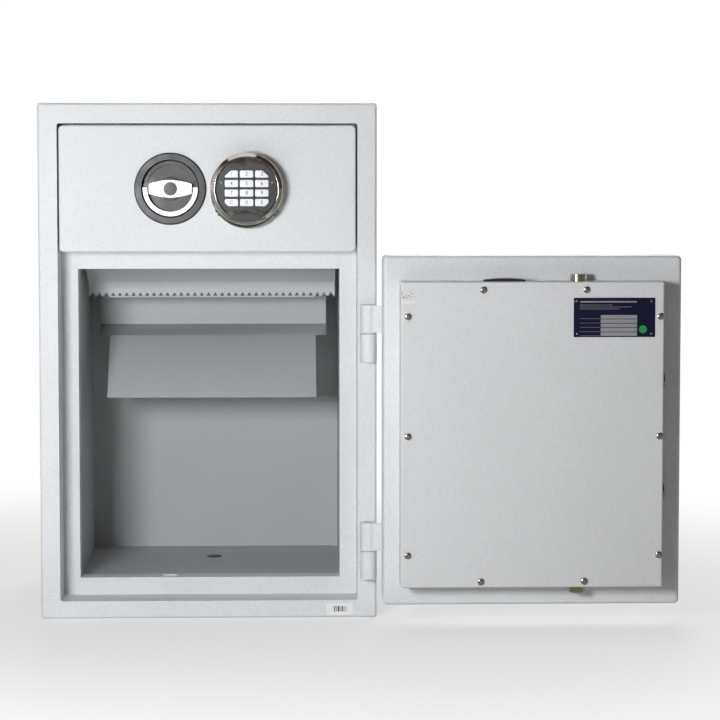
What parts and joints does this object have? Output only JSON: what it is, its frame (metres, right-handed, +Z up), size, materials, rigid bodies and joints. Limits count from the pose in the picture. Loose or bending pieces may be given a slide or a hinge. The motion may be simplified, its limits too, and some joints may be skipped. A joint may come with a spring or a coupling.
{
  "type": "deposit safe",
  "caption": "Upright steel safe with a deposit drawer and keypad above a hinged door on lift-off hinges, its boltwork thrown by a flush handle, and a toothed chute inside.",
  "frame": {"origin": "middle of the cabinet's base", "axes": "+Z up, -Y out of the front, +X to the right as someone faces the front"},
  "size_m": [0.8657, 0.553, 0.705],
  "materials": {
    "textured_paint": "light grey powder coat with a fine orange-peel texture",
    "smooth_paint": "light grey paint, smooth and satin",
    "barrier_concrete": "rough cast concrete, hidden between the sheets",
    "black_plastic": "moulded, fine matte grain",
    "satin_silver": "satin silver",
    "polished_chrome": "polished",
    "zinc_plated_steel": "zinc plated, dull",
    "silver_key_plastic": "silver-painted, satin"
  },
  "bodies": {
    "cabinet": {"outer_casing": "textured_paint", "barrier_filling": "barrier_concrete", "front_frame": "textured_paint", "divider_beam": "textured_paint", "inner_liner": "textured_paint", "chute_plate": "textured_paint", "chute_stiffener": "textured_paint", "rear_baffle": "textured_paint", "left_drawer_rail": "zinc_plated_steel", "right_drawer_rail": "zinc_plated_steel", "upper_hinge_base": "textured_paint", "lower_hinge_base": "textured_paint"},
    "drawer": {"drawer_face_plate": "textured_paint", "drawer_filling": "barrier_concrete", "drawer_pan": "textured_paint", "hopper_tray": "zinc_plated_steel", "drawer_lock_box": "smooth_paint", "drawer_handle_dish": "black_plastic", "keypad_housing": "satin_silver", "keypad_bezel": "polished_chrome"},
    "drawer_handle": {"drawer_handle_rotor": "black_plastic", "drawer_handle_grip": "satin_silver"},
    "drawer_bail": {"drawer_handle_bail": "satin_silver"},
    "drawer_latch": {"drawer_latch": "zinc_plated_steel"},
    "door": {"door_face_plate": "textured_paint", "door_filling": "barrier_concrete", "door_pan": "textured_paint", "boltwork_cover": "smooth_paint", "cover_slot_plug": "black_plastic", "upper_hinge_leaf": "textured_paint", "lower_hinge_leaf": "textured_paint", "lock_case": "zinc_plated_steel", "top_bolt_guide": "zinc_plated_steel", "bottom_bolt_guide": "zinc_plated_steel", "upper_side_bolt_guide": "zinc_plated_steel", "lower_side_bolt_guide": "zinc_plated_steel", "key_escutcheon": "satin_silver", "door_handle_dish": "black_plastic"},
    "door_handle": {"door_handle_rotor": "black_plastic", "door_handle_grip": "satin_silver", "bolt_cam": "zinc_plated_steel"},
    "door_bail": {"door_handle_bail": "satin_silver"},
    "keyhole_flap": {"keyhole_flap": "satin_silver"},
    "top_bolt": {"top_bolt": "polished_chrome"},
    "bottom_bolt": {"bottom_bolt": "polished_chrome"},
    "side_bolts": {"side_bolt_bar": "zinc_plated_steel", "upper_side_bolt": "polished_chrome", "lower_side_bolt": "polished_chrome"},
    "key_1": {"key_1": "silver_key_plastic"},
    "key_2": {"key_2": "silver_key_plastic"},
    "key_3": {"key_3": "silver_key_plastic"},
    "key_4": {"key_4": "silver_key_plastic"},
    "key_5": {"key_5": "silver_key_plastic"},
    "key_6": {"key_6": "silver_key_plastic"},
    "key_7": {"key_7": "silver_key_plastic"},
    "key_8": {"key_8": "silver_key_plastic"},
    "key_9": {"key_9": "silver_key_plastic"},
    "key_clear": {"key_clear": "silver_key_plastic"},
    "key_0": {"key_0": "silver_key_plastic"},
    "key_enter": {"key_enter": "silver_key_plastic"}
  },
  "joints": [
    {"name": "drawer_slide", "type": "slide", "parent": "cabinet", "child": "drawer", "axis": [0, -1, 0], "range_m": [0, 0.18]},
    {"name": "drawer_handle_turn", "type": "hinge", "parent": "drawer", "child": "drawer_handle", "pos_m": [-0.0505, -0.215, 0.589], "axis": [0, 1, 0], "range_deg": [0, 90]},
    {"name": "drawer_bail_fold", "type": "hinge", "parent": "drawer_handle", "child": "drawer_bail", "pos_m": [-0.0505, -0.2085, 0.589], "axis": [-1, 0, 0], "range_deg": [0, 90]},
    {"name": "drawer_latch_slide", "type": "slide", "parent": "drawer", "child": "drawer_latch", "axis": [0, 0, 1], "range_m": [0, 0.012]},
    {"name": "door_swing", "type": "hinge", "parent": "cabinet", "child": "door", "pos_m": [0.2185, -0.2265, 0.26], "axis": [0, 0, 1], "range_deg": [-180, 0]},
    {"name": "door_handle_turn", "type": "hinge", "parent": "door", "child": "door_handle", "pos_m": [0.4945, -0.238, 0.26], "axis": [0, -1, 0], "range_deg": [0, 90]},
    {"name": "door_bail_fold", "type": "hinge", "parent": "door_handle", "child": "door_bail", "pos_m": [0.4945, -0.2445, 0.26], "axis": [1, 0, 0], "range_deg": [0, 90]},
    {"name": "keyhole_flap_swing", "type": "hinge", "parent": "door", "child": "keyhole_flap", "pos_m": [0.39, -0.238, 0.272], "axis": [0, -1, 0], "range_deg": [-100, 100]},
    {"name": "top_bolt_slide", "type": "slide", "parent": "door", "child": "top_bolt", "axis": [0, 0, 1], "range_m": [0, 0.016]},
    {"name": "bottom_bolt_slide", "type": "slide", "parent": "door", "child": "bottom_bolt", "axis": [0, 0, -1], "range_m": [0, 0.016]},
    {"name": "side_bolts_slide", "type": "slide", "parent": "door", "child": "side_bolts", "axis": [1, 0, 0], "range_m": [0, 0.016]},
    {"name": "key_1_press", "type": "slide", "parent": "drawer", "child": "key_1", "axis": [0, 1, 0], "range_m": [0, 0.0012], "stiffness_N_per_m": 400},
    {"name": "key_2_press", "type": "slide", "parent": "drawer", "child": "key_2", "axis": [0, 1, 0], "range_m": [0, 0.0012], "stiffness_N_per_m": 400},
    {"name": "key_3_press", "type": "slide", "parent": "drawer", "child": "key_3", "axis": [0, 1, 0], "range_m": [0, 0.0012], "stiffness_N_per_m": 400},
    {"name": "key_4_press", "type": "slide", "parent": "drawer", "child": "key_4", "axis": [0, 1, 0], "range_m": [0, 0.0012], "stiffness_N_per_m": 400},
    {"name": "key_5_press", "type": "slide", "parent": "drawer", "child": "key_5", "axis": [0, 1, 0], "range_m": [0, 0.0012], "stiffness_N_per_m": 400},
    {"name": "key_6_press", "type": "slide", "parent": "drawer", "child": "key_6", "axis": [0, 1, 0], "range_m": [0, 0.0012], "stiffness_N_per_m": 400},
    {"name": "key_7_press", "type": "slide", "parent": "drawer", "child": "key_7", "axis": [0, 1, 0], "range_m": [0, 0.0012], "stiffness_N_per_m": 400},
    {"name": "key_8_press", "type": "slide", "parent": "drawer", "child": "key_8", "axis": [0, 1, 0], "range_m": [0, 0.0012], "stiffness_N_per_m": 400},
    {"name": "key_9_press", "type": "slide", "parent": "drawer", "child": "key_9", "axis": [0, 1, 0], "range_m": [0, 0.0012], "stiffness_N_per_m": 400},
    {"name": "key_clear_press", "type": "slide", "parent": "drawer", "child": "key_clear", "axis": [0, 1, 0], "range_m": [0, 0.0012], "stiffness_N_per_m": 400},
    {"name": "key_0_press", "type": "slide", "parent": "drawer", "child": "key_0", "axis": [0, 1, 0], "range_m": [0, 0.0012], "stiffness_N_per_m": 400},
    {"name": "key_enter_press", "type": "slide", "parent": "drawer", "child": "key_enter", "axis": [0, 1, 0], "range_m": [0, 0.0012], "stiffness_N_per_m": 400}
  ],
  "couplings": [
    {"joint": "drawer_latch_slide", "follows": "drawer_handle_turn", "m_per_rad": 0.0076394},
    {"joint": "top_bolt_slide", "follows": "door_handle_turn", "m_per_rad": 0.010186},
    {"joint": "bottom_bolt_slide", "follows": "door_handle_turn", "m_per_rad": 0.010186},
    {"joint": "side_bolts_slide", "follows": "door_handle_turn", "m_per_rad": 0.010186}
  ]
}
